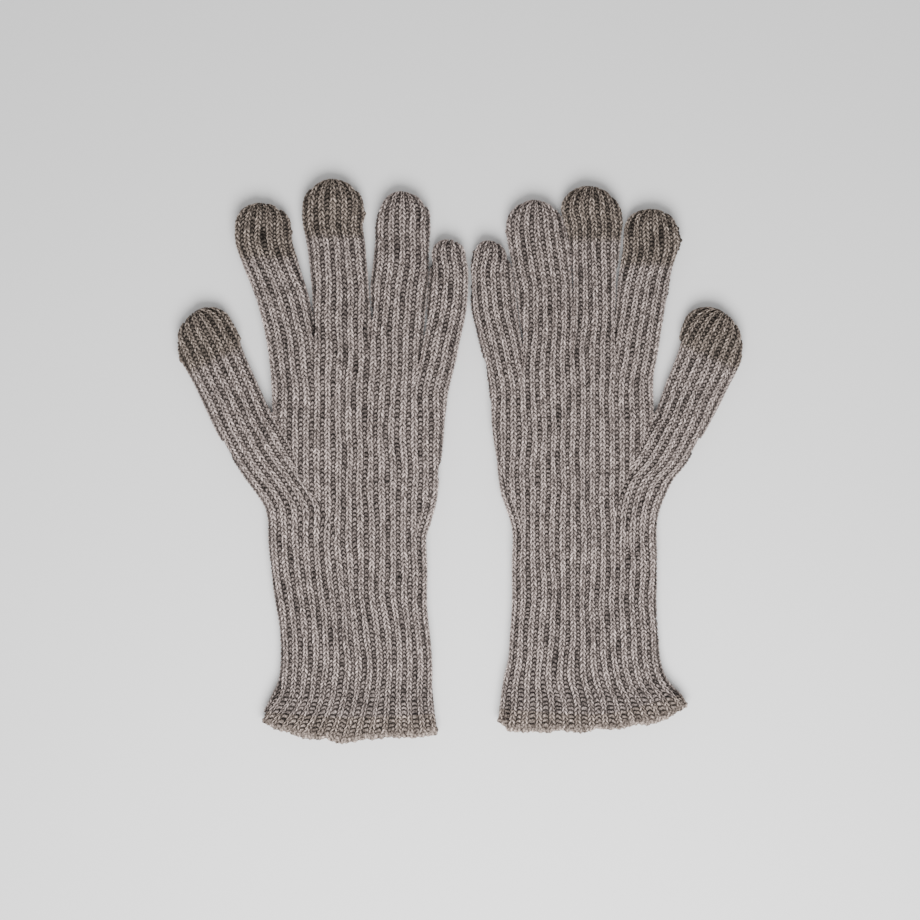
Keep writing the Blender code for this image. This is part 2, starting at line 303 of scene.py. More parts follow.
class Ribs:
    """A family of parallel ribs that follows a guide line x = guide(y)."""

    def __init__(self, guide, pitch, first, reference=None):
        self.guide, self.pitch, self.first = guide, pitch, first
        self.reference = reference or guide
        self.gather_at = first
        ys = np.linspace(-160, 160, 1601)
        xs = guide(ys) + 0 * ys
        slope = np.gradient(xs, ys)
        self.ys = ys
        self.run = np.concatenate([[0], np.cumsum(np.hypot(np.diff(xs), np.diff(ys)))])
        self.run -= np.interp(WRIST, ys, self.run)
        near = np.hanning(401)
        padded = np.pad(np.arctan(-slope), 200, mode="edge")
        self.lean = np.convolve(padded, near / near.sum(), mode="valid")

    def coords(self, x, y, fine_x, fine_plan, fine_s, s, plan):
        """U and V at points of one row.  s is the length along the surface, plan the length seen
        from above, and the fine arrays are the same row at many more points."""
        ref = self.reference(y) + 0 * y
        spread = (s - np.interp(ref, fine_x, fine_s)) - (plan - np.interp(ref, fine_x, fine_plan))
        lean = np.interp(y, self.ys, self.lean)
        off = (x - self.guide(y)) * np.cos(lean)
        u = (off + spread) / self.pitch + self.first
        foot = y - off * np.sin(lean)
        v = np.interp(foot, self.ys, self.run) / COURSE
        return u, v


# ---- outlines

def profile(inset):
    """How high a tube stands at a distance inset from its side, as a part of its full height."""
    t = np.clip(inset / EDGE_ZONE, 0, 1)
    return (1 - (1 - t) ** ROUNDNESS) ** (1 / ROUNDNESS)


def crease(distance, height):
    """A crease whose bottom stands at height, as a part of the full height."""
    return 1 - (1 - profile(np.abs(distance))) * (1 - height)


CREASE_FADE = 15.0  # how far below a crotch the crease between two fingers dies out


def crease_height(below):
    """How high a crease's bottom stands at a distance below the crotch."""
    return smooth(np.clip(below / CREASE_FADE, 0, 1)) ** 0.7


# An outline is a list of (y, x), the hem's two lines and the knots are (x, y), and rows are
# (y, left side, right side).  A thumb's rows and tip are in its own frame, whose x runs across it
# and whose y runs along it from the middle of its fold.  A tube's bends and cap are heights, a cap
# being there only in touch yarn.  root and little_root are where the fingers' tubes start, and
# crotches where the gaps between them end.
LEFT = {
    "side": "left",
    "pitch": 5.42,
    "knots": [(-85.5, 113.0), (-48.6, 122.3), (-112.2, 59.6), (-141.2, 49.0)],
    "outer": [
        (-127, -98.6), (-123, -95.6), (-118, -92.9), (-111, -91.4), (-101, -90.6), (-91, -90.8),
        (-81, -91.7), (-71, -93.4), (-61, -94.8), (-51, -96.0), (-41, -96.7), (-31, -97.1),
        (-25, -98.4), (-19, -102.0), (-11, -108.0), (-3, -113.6), (5, -118.6), (13, -122.6),
    ],
    "inner": [
        (-127, -12.6), (-118, -13.9), (-101, -14.4), (-91, -15.2), (-81, -16.2), (-61, -16.9),
        (-41, -16.9), (-33, -14.8), (-26, -12.9), (-19, -11.5), (-11, -10.8), (5, -9.5), (21, -8.0),
        (29, -7.0), (37, -5.4), (45, -3.4), (53, -1.6), (61, 0.1), (69, 1.6),
    ],
    "hem_top": [(-99.0, -127.0), (-56.0, -129.5), (-12.6, -128.0)],
    "hem_bottom": [
        (-99.5, -130.8), (-91, -135.0), (-81, -138.3), (-56, -141.0), (-38, -138.6), (-16, -137.9),
        (-11.6, -135.5),
    ],
    "palm_side": [
        (17, -93.0), (23.3, -95.2), (33, -95.5), (41, -96.0), (49, -96.7), (57, -97.8), (65, -99.5),
        (72, -101.6),
    ],
    "merge": [(-6, -10.0), (-17, -14.5), (-28, -20.4), (-44, -25.0)],
    "gusset": [(23.3, -95.2), (6.2, -85.8), (-10.2, -80.5), (-23.8, -69.8), (-34, -64.0)],
    "thumb": {
        "fold": (-108.75, 16.95),
        "lean": 25.0,
        "bend": 29.5,
        "cap": 30.0,
        "rows": [
            (-8, -13.9, 14.5), (0, -14.2, 14.4), (14, -14.4, 14.5), (30, -14.5, 14.6),
            (37.7, -15.1, 15.2), (41.5, -15.6, 16.2), (45, -15.2, 16.6), (50, -13.6, 16.0),
        ],
        "tip": (3.0, 61.4),
    },
    "root": 65.8,
    "little_root": 52.4,
    "crotches": [68.8, 71.2, 55.4],
    "fingers": {
        "index": {
            "rows": [
                (62, -98.7, -73.6), (68.5, -100.4, -74.0), (76, -102.4, -75.6), (84, -105.1, -77.4),
                (92, -108.1, -80.0), (100, -111.0, -82.4), (107, -113.6, -84.6),
                (113, -114.2, -85.4), (117, -114.1, -85.6),
            ],
            "tip": (-100.6, 127.5),
            "bends": (90.0, 109.0),
            "cap": 94.8,
        },
        "middle": {
            "rows": [
                (62, -73.6, -45.3), (71, -74.5, -45.4), (85, -74.9, -46.6), (97, -76.2, -47.5),
                (109, -77.9, -48.4), (116, -79.4, -49.4), (121, -79.9, -48.6), (126, -79.7, -48.9),
            ],
            "tip": (-64.6, 139.4),
            "bends": (94.5, 118.0),
            "cap": 105.2,
        },
        "ring": {
            "rows": [
                (52, -45.4, -21.2), (62, -45.3, -19.2), (71, -45.4, -18.3), (85, -45.4, -17.0),
                (97, -44.2, -16.2), (108, -43.3, -16.1), (114, -43.4, -15.6), (120, -42.6, -15.7),
            ],
            "tip": (-30.2, 133.2),
            "bends": (93.0, 113.5),
        },
        "little": {
            "rows": [
                (50, -21.3, -2.2), (56, -20.2, -1.0), (64, -18.4, 0.7), (74, -17.4, 2.8),
                (86, -16.4, 3.6), (95, -15.8, 3.5), (101, -15.2, 2.6),
            ],
            "tip": (-7.2, 109.3),
            "bends": (76.0, 93.0),
        },
    },
}

RIGHT = {
    "side": "right",
    "pitch": 4.95,
    "knots": [(109.6, 108.8), (142.6, 58.5), (107.4, 61.0), (22.6, 113.0)],
    "outer": [
        (-127, 113.6), (-123, 112.2), (-118, 108.9), (-114, 104.9), (-108, 101.5), (-99, 99.2),
        (-91, 98.8), (-81, 98.1), (-71, 97.6), (-61, 97.9), (-51, 98.1), (-41, 97.6), (-31, 98.2),
        (-25, 99.6), (-19, 102.0), (-11, 106.0), (-3, 112.7), (5, 117.6), (13, 122.0),
    ],
    "inner": [
        (-127, 18.2), (-118, 19.2), (-111, 20.8), (-101, 23.2), (-91, 24.0), (-81, 24.8),
        (-61, 25.2), (-41, 25.3), (-33, 24.4), (-26, 22.2), (-19, 19.8), (-11, 18.6), (5, 16.6),
        (21, 14.5), (29, 14.0), (37, 13.2), (45, 11.8), (53, 9.8), (61, 7.9), (69, 5.6),
    ],
    "hem_top": [(18.3, -125.5), (66.0, -128.0), (110.0, -118.4)],
    "hem_bottom": [
        (18.3, -130.8), (23.3, -135.4), (30, -135.8), (69, -135.2), (89, -132.6), (104, -129.0),
        (113.2, -123.6),
    ],
    "palm_side": [
        (17, 94.4), (23.3, 96.5), (33, 96.7), (41, 96.9), (49, 98.2), (57, 99.6), (65, 100.9),
        (72, 102.4),
    ],
    "merge": [(-6, 19.5), (-17, 23.5), (-28, 29.0), (-44, 34.5)],
    "gusset": [(23.3, 96.5), (4, 89.0), (-6, 84.0), (-20, 79.0), (-34, 74.5)],
    "thumb": {
        "fold": (109.4, 17.55),
        "lean": -24.0,
        "bend": 28.0,
        "cap": 30.5,
        "rows": [
            (-8, -13.2, 12.8), (0, -13.3, 13.3), (14, -14.2, 14.4), (27, -14.8, 15.0),
            (35, -15.8, 15.6), (41, -18.2, 15.4), (47, -18.6, 13.2),
        ],
        "tip": (-5.0, 59.6),
    },
    "root": 63.0,
    "little_root": 53.0,
    "crotches": [69.8, 64.5, 56.0],
    "fingers": {
        "index": {
            "rows": [
                (62, 76.6, 100.4), (70, 77.0, 101.8), (80, 77.8, 103.6), (90, 78.7, 105.1),
                (98, 79.6, 106.8), (104, 80.4, 109.4), (108, 80.7, 109.8), (114, 81.1, 109.2),
            ],
            "tip": (94.5, 124.5),
            "bends": (87.0, 106.0),
            "cap": 91.4,
        },
        "middle": {
            "rows": [
                (60, 56.2, 76.4), (70, 56.2, 76.6), (80, 55.7, 77.4), (92, 55.0, 78.3),
                (104, 54.2, 79.2), (112, 53.2, 80.2), (118, 51.6, 80.7), (123, 50.0, 80.2),
            ],
            "tip": (63.4, 136.0),
            "bends": (93.5, 116.0),
            "cap": 103.8,
        },
        "ring": {
            "rows": [
                (52, 30.9, 56.2), (62, 29.9, 56.3), (72, 28.9, 56.3), (82, 27.6, 55.7),
                (92, 26.2, 55.0), (102, 24.3, 54.3), (109, 22.7, 53.4), (116, 22.5, 51.6),
            ],
            "tip": (36.6, 128.9),
            "bends": (92.0, 111.5),
        },
        "little": {
            "rows": [
                (50, 10.6, 31.0), (56, 9.2, 30.4), (64, 7.0, 29.2), (74, 4.9, 28.2),
                (86, 4.1, 26.6), (95, 4.3, 25.0), (101, 5.2, 22.8),
            ],
            "tip": (13.4, 108.6),
            "bends": (76.0, 93.0),
        },
    },
}

INSET = 0.4  # how far inside the silhouette the fabric's middle surface ends
KNEE_START = -24.0  # where the thumb's ribs start to part from the palm's
KNEE_END = 20.3  # where they have parted
HEM_START = -112.0  # above this the rows of points are straight


def mirrored(glove):
    """The same glove seen in a mirror, so that its thumb points to the left."""

    def tube(part, **changes):
        x, y = part["tip"]
        rows = [(y, -right, -left) for y, left, right in part["rows"]]
        return dict(part, rows=rows, tip=(-x, y), **changes)

    outlines = ("outer", "inner", "palm_side", "gusset", "merge")
    points = ("knots", "hem_top", "hem_bottom")
    thumb = glove["thumb"]
    fold_x, fold_y = thumb["fold"]
    return dict(
        glove,
        **{name: [(y, -x) for y, x in glove[name]] for name in outlines},
        **{name: [(-x, y) for x, y in reversed(glove[name])] for name in points},
        thumb=tube(thumb, lean=-thumb["lean"], fold=(-fold_x, fold_y)),
        fingers={name: tube(finger) for name, finger in glove["fingers"].items()},
    )


# ---- grids

VALUES = ("rib", "course", "tone", "open", "lift")  # what the yarn does at each point; open is its painted light and shade
KNOT_HEIGHT, KNOT_AREA = 0.9, 2.2  # of a small knot at a fingertip


class Grid:
    """Rings of points round a lying tube, from its hand end on, and what the yarn does there."""

    def __init__(self, columns_top, columns_back, knots=()):
        self.top, self.back, self.knots = columns_top, columns_back, knots
        self.place = []
        self.values = {name: [] for name in VALUES}

    def add_row(self, fine, families, top_height, dome=1.0, extra=None):
        """Adds a ring above and below a row of (x, y) points from the left side to the right one.
        dome is how much closer the ribs lie at a fingertip, and extra changes the stitches."""
        x, y = fine
        h = top_height(x, y)
        plan = np.concatenate([[0], np.cumsum(np.hypot(np.diff(x), np.diff(y)))])
        steps = np.sqrt(np.diff(plan) ** 2 + np.diff(h) ** 2)
        s = np.concatenate([[0], np.cumsum(steps)])
        halves = []
        for count, sign in ((self.top, 1), (self.back, -1)):
            at = np.linspace(0, s[-1], count + 1)
            px, py, ph = (np.interp(at, s, a) for a in (x, y, h))
            pp = np.interp(at, s, plan)
            values = families(px, py, at, pp, (x, plan, s), dome)
            if extra is not None:
                values[-2:] = extra(px, py, values[0], *values[-2:])
            for knot_x, knot_y in self.knots:
                away = (px - knot_x) ** 2 + (py - knot_y) ** 2
                values[-1] = values[-1] + KNOT_HEIGHT * np.exp(-away / KNOT_AREA)
            ph[0] = ph[-1] = 0.0
            points = np.stack([px, py, MIDDLE + sign * ph], 1)
            halves.append([points, *values])
        top, back = halves
        both = [np.concatenate([a, b[-2:0:-1]]) for a, b in zip(top, back)]
        self.place.append(both[0])
        for name, value in zip(VALUES, both[1:]):
            self.values[name].append(value)

    def last(self):
        """The number of the last row so far."""
        return len(self.place) - 1

    def solve(self):
        """Turns the rows into arrays and lifts the stitches off the base surface."""
        self.place = np.array(self.place)
        self.values = {name: np.array(a) for name, a in self.values.items()}
        around = np.roll(self.place, -1, 1) - np.roll(self.place, 1, 1)
        along = np.gradient(self.place, axis=0)
        normal = np.cross(along, around)
        normal /= np.maximum(np.linalg.norm(normal, axis=2, keepdims=True), 1e-9)
        self.normal = -normal  # out of the tube
        self.skin = self.place + self.normal * self.values["lift"][..., None]


def fine_row(left, right, y_of, count=900):
    """Points from side to side, closer together near the sides.  y_of gives y at x."""
    t = 0.5 - 0.5 * np.cos(np.linspace(0, math.pi, count))
    x = left + (right - left) * t
    return x, y_of(x)


def side_cosine(edge, y):
    """The cosine of a side's lean, which turns a distance along x into one from the side."""
    return 1 / np.hypot(1, (edge(y + 0.5) - edge(y - 0.5)))


def fullness(x, y):
    """Half the thickness of the lying glove at a place, without its stitches."""
    return HALF * (1 + UNEVEN * SLACK(x * 0.4, y * 0.4))


class Shape:
    """Height of the top surface above the tube's middle, from its two sides and its creases."""

    def __init__(self, left, right, creases=()):
        self.left, self.right, self.creases = left, right, creases

    def __call__(self, x, y):
        h = fullness(x, y)
        h = h * profile(np.maximum(x - self.left(y) - INSET, 0) * side_cosine(self.left, y))
        h = h * profile(np.maximum(self.right(y) - INSET - x, 0) * side_cosine(self.right, y))
        for line, zero in self.creases:
            distance = (x - line(y)) * side_cosine(line, y)
            h = h * crease(distance, crease_height(zero - y))
        return h


OPEN_START, SHADE_START = -108, -106  # the ribs spread and darken from here to the cuff's edge
EDGE_FADE, CUFF_FADE = 16, 30  # over these lengths
CUFF_DARKER, EDGE_DARKER = 0.09, 0.13
COURSE_BREATH, COURSE_TREMBLE = 0.12, 0.05  # how far courses stray, in courses
RIB_DRIFT, RIB_TREMBLE = 0.45, 0.11  # how far ribs stray, in mm
SEAM_WIDTH = 1.2  # one family of ribs gives way to the next over this width
GROOVE_DEPTH, GROOVE_WIDTH = 0.30, 0.9  # of the groove between them
GUSSET_FADE = 25  # grooves deepen over this length above the wrist
VALLEY_START, VALLEY_FADE = 38, 18  # between fingers they start here and deepen over this length
SIDE_REFERENCE = 13  # from the inner side of the hand, where its ribs are counted from


def relief(u, v, x, y):
    """All the VALUES at a place.  Courses run a little unevenly, and near the cuff's edge the
    ribs spread and their hollows show."""
    v = v + COURSE_BREATH * BREATH(x, y) + COURSE_TREMBLE * TREMBLE(y + 50, x)
    lift, *looks = stitch(u, v, SLACK(x, y), smooth((OPEN_START - y) / EDGE_FADE))
    return [u, *looks, lift]


def cuff_shade(y):
    """How light the yarn looks: the cuff is darker than the hand, and its edge darker yet."""
    cuff, edge = smooth((WRIST - y) / CUFF_FADE), smooth((SHADE_START - y) / EDGE_FADE)
    return 1 - CUFF_DARKER * cuff - EDGE_DARKER * edge


def wander(x, y):
    """Small sideways drift of the ribs, in mm."""
    return RIB_DRIFT * DRIFT(x, y) + RIB_TREMBLE * TREMBLE(x, y)


def cut_between(distance):
    """Share of the family on one side of a line, and the groove along it, from the distance past
    the line."""
    share = smooth(0.5 + distance / SEAM_WIDTH)
    groove = GROOVE_DEPTH * np.exp(-((distance / GROOVE_WIDTH) ** 2))
    return share, groove


def laid_over(own, below, share, groove):
    """One family's values laid over another's where share is 1, with a groove in the stitches."""
    looks = [np.where(share > 0.5, a, b) for a, b in zip(own[:-1], below)]
    return looks + [share * own[-1] + (1 - share) * below[-1] - groove]


def body_ribs(glove, x_zero):
    """The ribs of the cuff, the heel of the hand and the thumb's root."""
    pitch = glove["pitch"]
    outer, inner = glove["outer_line"], glove["inner_line"]
    wrist_width = float(inner(WRIST) - outer(WRIST))
    gusset, merge = glove["gusset_line"], curve(glove["merge"])
    thumb = glove["thumb_ribs"]
    inner_first = float(inner(WRIST) - x_zero) / pitch
    side = Ribs(inner, pitch, inner_first, lambda y: inner(y) - SIDE_REFERENCE)

    def families(x, y, s, plan, fine, dome):
        fine_x, fine_plan, fine_s = fine
        xd = x + wander(x, y)
        middle_x = (outer(y) + inner(y)) / 2
        spread = s - np.interp(middle_x, fine_x, fine_s)
        spread = spread - (plan - np.interp(middle_x, fine_x, fine_plan))
        even = (xd - outer(y)) * wrist_width / (inner(y) - outer(y)) + spread
        straight = xd - x_zero + spread
        u = np.where(y < WRIST, even, straight) / pitch
        values = relief(u, (y - WRIST) / COURSE, x, y)
        values[3] = values[3] * cuff_shade(y)
        upper = y > WRIST
        if not upper.any():
            return values
        for ribs, line, sign in ((thumb, gusset, 1), (side, merge, -1)):
            uf, vf = ribs.coords(xd, y, fine_x, fine_plan, fine_s, s, plan)
            share, groove = cut_between((line(y) - x) * sign * side_cosine(line, y))
            share = np.where(upper, share, 0)
            groove = groove * np.where(upper, smooth((y - WRIST) / GUSSET_FADE), 0)
            values = laid_over(relief(uf, vf, x, y), values, share, groove)
        return values

    return families


def finger_families(fingers, boundaries):
    """The ribs of several fingers side by side, cut along the lines between them."""

    def families(x, y, s, plan, fine, dome):
        fine_x, fine_plan, fine_s = fine
        xd = x + wander(x, y)
        values = None
        for ribs, line in zip(fingers, [None, *boundaries]):
            uf, vf = ribs.coords(xd, y, fine_x, fine_plan, fine_s, s, plan)
            own = relief(ribs.gather_at + (uf - ribs.gather_at) * dome, vf, x, y)
            if line is None:
                values = own
                continue
            share, groove = cut_between((x - line(y)) * side_cosine(line, y))
            groove = groove * smooth((y - VALLEY_START) / VALLEY_FADE)
            values = laid_over(own, values, share, groove)
        return values

    return families


def straight_rows(grid, left, right, low, high, families, shape, first=True):
    """Level rows between two side lines.  first is False where the last row already lies at low."""
    count = max(2, int(math.ceil((high - low) / ROW)))
    for k in range(0 if first else 1, count + 1):
        y0 = low + (high - low) * k / count
        ends = float(left(y0)) + INSET, float(right(y0)) - INSET
        grid.add_row(fine_row(*ends, lambda x, y0=y0: np.full_like(x, y0)), families, shape)


DOME_POWER = 1.85  # how square a fingertip is


def dome_rows(grid, edges, start, tip, families):
    """Rows that close a finger.  start is where its sides begin to turn in."""
    left, right = edges
    centre0 = (float(left(start)) + float(right(start))) / 2
    half = (float(right(start)) - float(left(start))) / 2 - INSET
    length = tip[1] - INSET - start
    slope = float(left(start) + right(start) - left(start - 2) - right(start - 2)) / 4
    count = int(math.ceil(0.5 * math.pi * max(half, length) / ROW * 0.95))

    def middle(y):
        t = (y - start) / length
        return centre0 + slope * (y - start) + (tip[0] - centre0 - slope * length) * t * t

    def top(x, y):
        a = np.abs(x - middle(y)) / half
        b = np.clip((y - start) / length, 0, 1)
        reach = (a**DOME_POWER + b**DOME_POWER) ** (1 / DOME_POWER)
        size = (half * a + length * b) / np.maximum(a + b, 1e-6)
        return fullness(x, y) * profile(np.maximum(1 - reach, 0) * size)

    for k in range(1, count):
        turn = 0.5 * math.pi * k / count
        width = half * math.cos(turn) ** (2 / DOME_POWER)
        y0 = start + length * math.sin(turn) ** (2 / DOME_POWER)
        c = middle(y0)
        row = fine_row(c - width, c + width, lambda x, y0=y0: np.full_like(x, y0), 300)
        gather = (half / max(width, 0.35)) ** 0.62
        grid.add_row(row, families, top, dome=gather)


# ---- materials

def yarn(name, bright, dark, start=None):
    """A marl yarn.  bright and dark are the colours of its strands.  With start, the same pair of
    another yarn, it takes over from that yarn where the points' dye rises from 0 to 1."""
    material = bpy.data.materials.new(name)
    material.use_nodes = True
    nodes, links = material.node_tree.nodes, material.node_tree.links
    nodes.clear()

    def node(kind, **values):
        made = nodes.new(kind)
        for key, value in values.items():
            setattr(made, key, value)
        return made

    def put(socket, value):
        """Links a socket to another one, or sets it to a number."""
        if isinstance(value, bpy.types.NodeSocket):
            links.new(value, socket)
        else:
            socket.default_value = value

    def combined(operation, a, b):
        made = node("ShaderNodeMath", operation=operation)
        put(made.inputs[0], a)
        put(made.inputs[1], b)
        return made.outputs[0]

    def mixed(share, a, b, **kind):
        made = node("ShaderNodeMix", data_type="RGBA", **kind)
        for number, value in ((0, share), (6, a), (7, b)):
            put(made.inputs[number], (*value, 1) if isinstance(value, tuple) else value)
        return made.outputs[2]

    def attribute(label):
        return node("ShaderNodeAttribute", attribute_name=label).outputs["Fac"]

    def noise(vector, scale, detail, roughness=0.6):
        made = node("ShaderNodeTexNoise")
        put(made.inputs["Scale"], scale)
        put(made.inputs["Detail"], detail)
        put(made.inputs["Roughness"], roughness)
        put(made.inputs["Vector"], vector)
        return made.outputs["Fac"]

    def spread(value, *limits):
        made = node("ShaderNodeMapRange")
        for key, number in zip(("From Min", "From Max", "To Min", "To Max"), limits):
            put(made.inputs[key], number)
        put(made.inputs["Value"], value)
        return made.outputs[0]

    # fibres run along the strands: slow change along a strand, fast change across it
    place = node("ShaderNodeTexCoord").outputs["Object"]
    along = node("ShaderNodeCombineXYZ")
    put(along.inputs[0], combined("MULTIPLY", attribute("rib"), 4.0))
    put(along.inputs[1], combined("MULTIPLY", attribute("course"), 5.5))
    fibre = noise(along.outputs[0], 1.0, 3.0, 0.7)
    patch, hair, speck = noise(place, 110.0, 3.0), noise(place, 2400.0, 2.0), noise(place, 1100.0, 2.0)

    # the yarn is plied from a dark and a bright strand
    if start is not None:
        dye = attribute("dye")
        bright, dark = mixed(dye, start[0], bright), mixed(dye, start[1], dark)
    ply = combined("MULTIPLY", attribute("tone"), 0.55)
    ply = combined("ADD", ply, spread(fibre, 0.36, 0.64, -0.10, 0.55))
    colour = mixed(ply, dark, bright)

    shade = spread(patch, 0.3, 0.7, 0.90, 1.10)
    shade = combined("MULTIPLY", shade, spread(hair, 0.3, 0.7, 0.70, 1.30))
    shade = combined("MULTIPLY", shade, spread(speck, 0.37, 0.63, 0.32, 1.68))
    # painted light and shade from the open value: darker in the hollows, lighter on the crowns; the power darkens the
    # hollows more than it does the crowns
    painted_light_and_shade = combined("POWER", spread(attribute("open"), 0.0, 0.80, 0.0, 1.30), 1.65)
    shade = combined("MULTIPLY", shade, painted_light_and_shade)
    grey = node("ShaderNodeCombineXYZ")
    for socket in grey.inputs:
        put(socket, shade)
    colour = mixed(1.0, colour, grey.outputs[0], blend_type="MULTIPLY")

    bump = node("ShaderNodeBump")
    put(bump.inputs["Strength"], 0.7)
    put(bump.inputs["Distance"], 0.0003)
    put(bump.inputs["Height"], combined("ADD", fibre, combined("MULTIPLY", hair, 0.8)))

    surface = node("ShaderNodeBsdfPrincipled")
    put(surface.inputs["Roughness"], 0.95)
    put(surface.inputs["Specular IOR Level"], 0.08)
    put(surface.inputs["Sheen Weight"], 0.03)
    put(surface.inputs["Sheen Roughness"], 0.6)
    put(surface.inputs["Base Color"], colour)
    put(surface.inputs["Normal"], bump.outputs[0])
    put(node("ShaderNodeOutputMaterial").inputs["Surface"], surface.outputs[0])
    return material


MARL = ((0.470, 0.391, 0.363), (0.113, 0.092, 0.084))
YARNS = {
    "body_yarn": yarn("marl_yarn", *MARL),
    "touch_yarn": yarn("touch_yarn", (0.31, 0.255, 0.218), (0.072, 0.058, 0.049), start=MARL),
    "edge_yarn": yarn("edge_yarn", (0.475, 0.388, 0.340), (0.115, 0.092, 0.078)),
}


# ---- pieces

SHOWN = VALUES[:4]  # the values that the yarn's material reads
INNER_PAINTED_LIGHT = 0.35  # painted shade inside the tube: how much painted light the plain inner side gets
INNER_TIP = 0.4  # what every value is at the middle of a closed inner end
NARROW = 8.0  # a closed end's inner side stops where the tube is this narrow
THIN = 0.15  # half the least room that the inner side keeps
RIM_TURNS = (0.25, 0.5, 0.75)  # where a rolled rim has rings, in half turns
DYE_START, DYE_LENGTH = 2.2, 5.0  # the touch yarn takes over from here on, and over this length

FIBRES = 0.0 if QUICK else 0.11  # loose fibres to the square millimetre
FIBRE_RADIUS = 0.036
FIBRE_LENGTHS, FIBRE_RISES, FIBRE_CURLS = (0.8, 2.4), (0.15, 0.55), (-0.8, 0.8)
FIBRE_STEPS, FIBRE_SIDES = 4, 3
FIBRE_PAINTED_LIGHT = 0.75  # how much painted light a loose fibre gets

# where each kind of face lies in the UV square: a start and a span of v, two discs and a patch
OUTER_V, INNER_V, RIM_V, END_V = (0.0, 0.86), (0.88, 0.06), (0.95, 0.02), (0.975, 0.01)
OUTER_DISC, INNER_DISC, DISC_RADIUS = np.array([0.1, 0.993]), np.array([0.2, 0.993]), 0.006
FIBRE_PATCH = np.array([[0.40, 0.990], [0.41, 0.990], [0.41, 0.998], [0.40, 0.998]])


def to_metres(points, glove):
    points = np.array(points, float) * MM
    points[..., 0] *= glove["flip"]
    return points


class Shell:
    """The points and faces of one piece, while it is put together ring by ring."""

    def __init__(self, columns, labels):
        self.columns = columns
        self.points, self.total = [], 0
        self.data = {label: [] for label in labels}
        self.loops, self.uv, self.sizes, self.smooth = [], [], [], []

    def add_points(self, points, values):
        """Adds points with the yarn's values there, and gives the number of the first one."""
        first = self.total
        self.points.append(points.reshape(-1, 3))
        for label, parts in self.data.items():
            parts.append(np.ravel(values[label]))
        self.total += len(self.points[-1])
        return first

    def add_rings(self, rings, values):
        """Adds rings of points, and gives the number of each ring's first point."""
        first = self.add_points(rings, values)
        return list(range(first, self.total, self.columns))

    def add_faces(self, corners, uv, smooth_faces=True):
        self.loops.append(corners.ravel())
        self.uv.append(uv.reshape(-1, 2))
        self.sizes.append(np.full(len(corners), corners.shape[1]))
        self.smooth.append(np.full(len(corners), smooth_faces))

    def bands(self, rings, v_range, smooth_faces=True, inward=False):
        """Faces between each ring and the next."""
        start, span = v_range
        c = np.arange(self.columns)
        d = (c + 1) % self.columns
        left, right = c / self.columns, (c + 1) / self.columns
        for k, (near, far) in enumerate(zip(rings, rings[1:])):
            low, high = (
                np.full(self.columns, start + span * q / (len(rings) - 1)) for q in (k, k + 1)
            )
            if inward:
                near, far, low, high = far, near, high, low
            uv = np.stack([left, low, right, low, right, high, left, high], 1)
            corners = np.stack([near + c, near + d, far + d, far + c], 1)
            self.add_faces(corners, uv, smooth_faces)

    def fan(self, ring, tip, centre, inward=False):
        """Triangles from a ring to the point at its middle.  centre is that point's place in UV."""
        steps = np.arange(self.columns + 1)
        turn = 2 * math.pi * steps / self.columns
        disc = np.stack([DISC_RADIUS * np.cos(turn), DISC_RADIUS * np.sin(turn)], 1) + centre
        a, b = (steps[1:], steps[:-1]) if inward else (steps[:-1], steps[1:])
        corners = [ring + a % self.columns, ring + b % self.columns, np.full(self.columns, tip)]
        uv = [disc[a], disc[b], np.tile(centre, (self.columns, 1))]
        self.add_faces(np.stack(corners, 1), np.stack(uv, 1))

    def make(self, name, slot, glove, world):
        """The finished object.  world, if given, takes the points out of the thumb's frame."""
        points = np.concatenate(self.points)
        if world is not None:
            points = world(points)
        points = to_metres(points, glove)
        loops, uv = np.concatenate(self.loops), np.concatenate(self.uv)
        sizes = np.concatenate(self.sizes)
        starts = np.concatenate([[0], np.cumsum(sizes)[:-1]])
        if glove["flip"] < 0:
            order = np.repeat(2 * starts + sizes - 1, sizes) - np.arange(len(loops))
            loops, uv = loops[order], uv[order]

        mesh = bpy.data.meshes.new(name)
        mesh.vertices.add(len(points))
        mesh.vertices.foreach_set("co", points.astype(np.float32).ravel())
        mesh.loops.add(len(loops))
        mesh.loops.foreach_set("vertex_index", loops.astype(np.int32))
        mesh.polygons.add(len(sizes))
        mesh.polygons.foreach_set("loop_start", starts.astype(np.int32))
        mesh.polygons.foreach_set("use_smooth", np.concatenate(self.smooth))
        layer = mesh.uv_layers.new(name="OFBake")
        layer.data.foreach_set("uv", uv.astype(np.float32).ravel())
        for label, parts in self.data.items():
            attribute = mesh.attributes.new(label, "FLOAT", "POINT")
            attribute.data.foreach_set("value", np.concatenate(parts).astype(np.float32))
        mesh.update(calc_edges=True)
        mesh.materials.append(YARNS[slot])
        obj = bpy.data.objects.new(name, mesh)
        bpy.context.scene.collection.objects.link(obj)
        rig.slot(obj, slot)
        return obj


def dyed(along, stray=0.0):
    """How far the touch yarn has taken over at a length along its piece."""
    return smooth((along - DYE_START + stray) / DYE_LENGTH)


def inner_side(place, normal, closed):
    """The plain inner side: its points, and the numbers of the rows that it follows."""
    last = len(place) - 1
    if closed:
        width = place[..., 0].max(1) - place[..., 0].min(1)
        last = int(np.nonzero(width > NARROW)[0][-1])
    rows = sorted(set(range(0, last, INNER_STRIDE)) | {last})
    inside = place[rows] - normal[rows] * LAYER
    rise = place[rows][..., 2] - MIDDLE
    kept = np.maximum(np.abs(rise) - LAYER, np.minimum(np.abs(rise), THIN))
    inside[..., 2] = MIDDLE + np.sign(rise) * kept
    return inside, rows


def rim_rings(skin, inside):
    """Rings that round the fabric's end over from its outer side to its inner one."""
    out = skin[0] - skin[2]
    out /= np.linalg.norm(out, axis=1, keepdims=True)
    middle, arm = (skin[0] + inside[0]) / 2, (skin[0] - inside[0]) / 2
    radius = np.linalg.norm(arm, axis=1, keepdims=True)
    for turn in RIM_TURNS:
        angle = math.pi * turn
        yield middle + arm * math.cos(angle) + out * radius * math.sin(angle)


